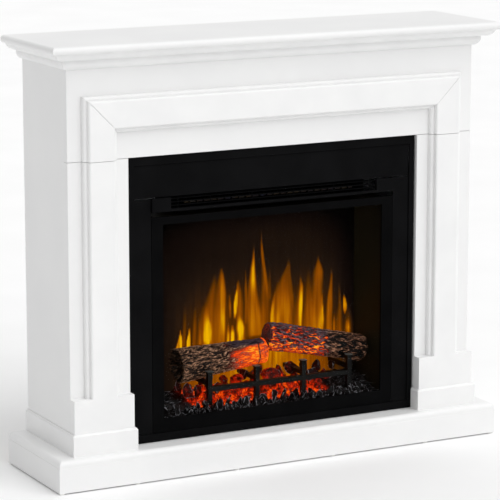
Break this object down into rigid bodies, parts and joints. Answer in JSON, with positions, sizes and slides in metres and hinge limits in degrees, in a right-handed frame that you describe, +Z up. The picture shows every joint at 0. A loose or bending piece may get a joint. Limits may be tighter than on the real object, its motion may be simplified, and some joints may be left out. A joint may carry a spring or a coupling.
{
  "type": "electric fireplace",
  "caption": "White mantel surround with panelled legs, crown and shelf around a black electric insert with a heater outlet, glass window, logs, ember bed and flame screen.",
  "frame": {"origin": "on the floor under the middle of the whole fireplace", "axes": "+X to the right seen from the front, +Y towards the wall behind, +Z up"},
  "size_m": [1.15, 0.297, 1],
  "materials": {
    "white_lacquer": "satin white lacquer on fibreboard",
    "raw_board": "bare fibreboard",
    "glide_nylon": "moulded nylon",
    "zinc_steel": "bright zinc plate",
    "casing_steel": "galvanised sheet",
    "black_steel": "matt black powder coat",
    "window_glass": "clear toughened glass",
    "liner_paint": "dark matt paint lit by the flames",
    "flame_screen": "diffusing acrylic screen",
    "spindle_steel": "bright drawn bar",
    "mirror_foil": "polished foil",
    "motor_steel": "plated motor can",
    "circuit_board": "solder mask",
    "ember_resin": "translucent cast resin",
    "coal_resin": "painted cast resin",
    "log_resin": "hand-painted cast bark",
    "charred_log_resin": "hand-painted charred bark",
    "grate_iron": "matt black",
    "element_steel": "heat-tinted sheath",
    "blower_aluminium": "mill finish",
    "switch_plastic": "moulded rocker",
    "knob_plastic": "moulded knob",
    "inlet_plastic": "moulded socket"
  },
  "bodies": {
    "root": {"base_board": "white_lacquer", "base_front_apron": "white_lacquer", "base_side_aprons": "white_lacquer", "base_rails": "raw_board", "base_glides": "glide_nylon", "right_side_panel": "white_lacquer", "left_side_panel": "white_lacquer", "right_leg_front": "white_lacquer", "left_leg_front": "white_lacquer", "opening_lining": "white_lacquer", "frieze_board": "white_lacquer", "right_leg_band": "white_lacquer", "left_leg_band": "white_lacquer", "frieze_band": "white_lacquer", "leg_mouldings": "white_lacquer", "frieze_mouldings": "white_lacquer", "leg_skirtings": "white_lacquer", "crown_moulding": "white_lacquer", "mantel_shelf": "white_lacquer", "rear_rails": "raw_board", "corner_brackets": "zinc_steel", "bracket_screws": "zinc_steel", "insert_bearers": "raw_board", "casing_floor": "casing_steel", "casing_lid": "casing_steel", "casing_sides": "casing_steel", "casing_back": "casing_steel", "insert_fixing_screws": "zinc_steel", "trim_flange": "black_steel", "flap_hinge_pins": "zinc_steel", "side_fascias": "black_steel", "outlet_bezel": "black_steel", "outlet_grille": "black_steel", "window_frame": "black_steel", "front_glass": "window_glass", "firebox_liner": "liner_paint", "flame_screen": "flame_screen", "rotor_brackets": "zinc_steel", "rotor_motor": "motor_steel", "led_board": "circuit_board", "ember_bed": "ember_resin", "coal_lumps": "coal_resin", "left_log": "log_resin", "right_log": "charred_log_resin", "grate": "grate_iron", "heater_duct": "black_steel", "heating_element": "element_steel", "blower_motor": "motor_steel", "control_plate": "black_steel", "mains_inlet": "inlet_plastic"},
    "header_flap": {"header_flap": "black_steel"},
    "flame_rotor": {"rotor_spindle": "spindle_steel", "rotor_vanes": "mirror_foil"},
    "blower": {"blower_wheel": "blower_aluminium"},
    "flame_switch": {"flame_switch": "switch_plastic"},
    "low_heat_switch": {"low_heat_switch": "switch_plastic"},
    "high_heat_switch": {"high_heat_switch": "switch_plastic"},
    "thermostat_knob": {"thermostat_knob": "knob_plastic"},
    "dimmer_knob": {"dimmer_knob": "knob_plastic"}
  },
  "joints": [
    {"name": "flap_hinge", "type": "hinge", "parent": "root", "child": "header_flap", "pos_m": [0, -0.0845, 0.6455], "axis": [1, 0, 0], "range_deg": [0, 80]},
    {"name": "rotor_spin", "type": "hinge", "parent": "root", "child": "flame_rotor", "pos_m": [0, 0.087, 0.15], "axis": [1, 0, 0], "continuous": true},
    {"name": "blower_spin", "type": "hinge", "parent": "root", "child": "blower", "pos_m": [0, 0.012, 0.664], "axis": [1, 0, 0], "continuous": true},
    {"name": "flame_rocker", "type": "hinge", "parent": "root", "child": "flame_switch", "pos_m": [0.15, -0.0632, 0.678], "axis": [1, 0, 0], "range_deg": [-6, 6]},
    {"name": "low_heat_rocker", "type": "hinge", "parent": "root", "child": "low_heat_switch", "pos_m": [0.18, -0.0632, 0.678], "axis": [1, 0, 0], "range_deg": [-6, 6]},
    {"name": "high_heat_rocker", "type": "hinge", "parent": "root", "child": "high_heat_switch", "pos_m": [0.21, -0.0632, 0.678], "axis": [1, 0, 0], "range_deg": [-6, 6]},
    {"name": "thermostat_turn", "type": "hinge", "parent": "root", "child": "thermostat_knob", "pos_m": [0.255, -0.07, 0.678], "axis": [0, 1, 0], "range_deg": [0, 270]},
    {"name": "dimmer_turn", "type": "hinge", "parent": "root", "child": "dimmer_knob", "pos_m": [0.305, -0.07, 0.678], "axis": [0, 1, 0], "range_deg": [0, 270]}
  ]
}
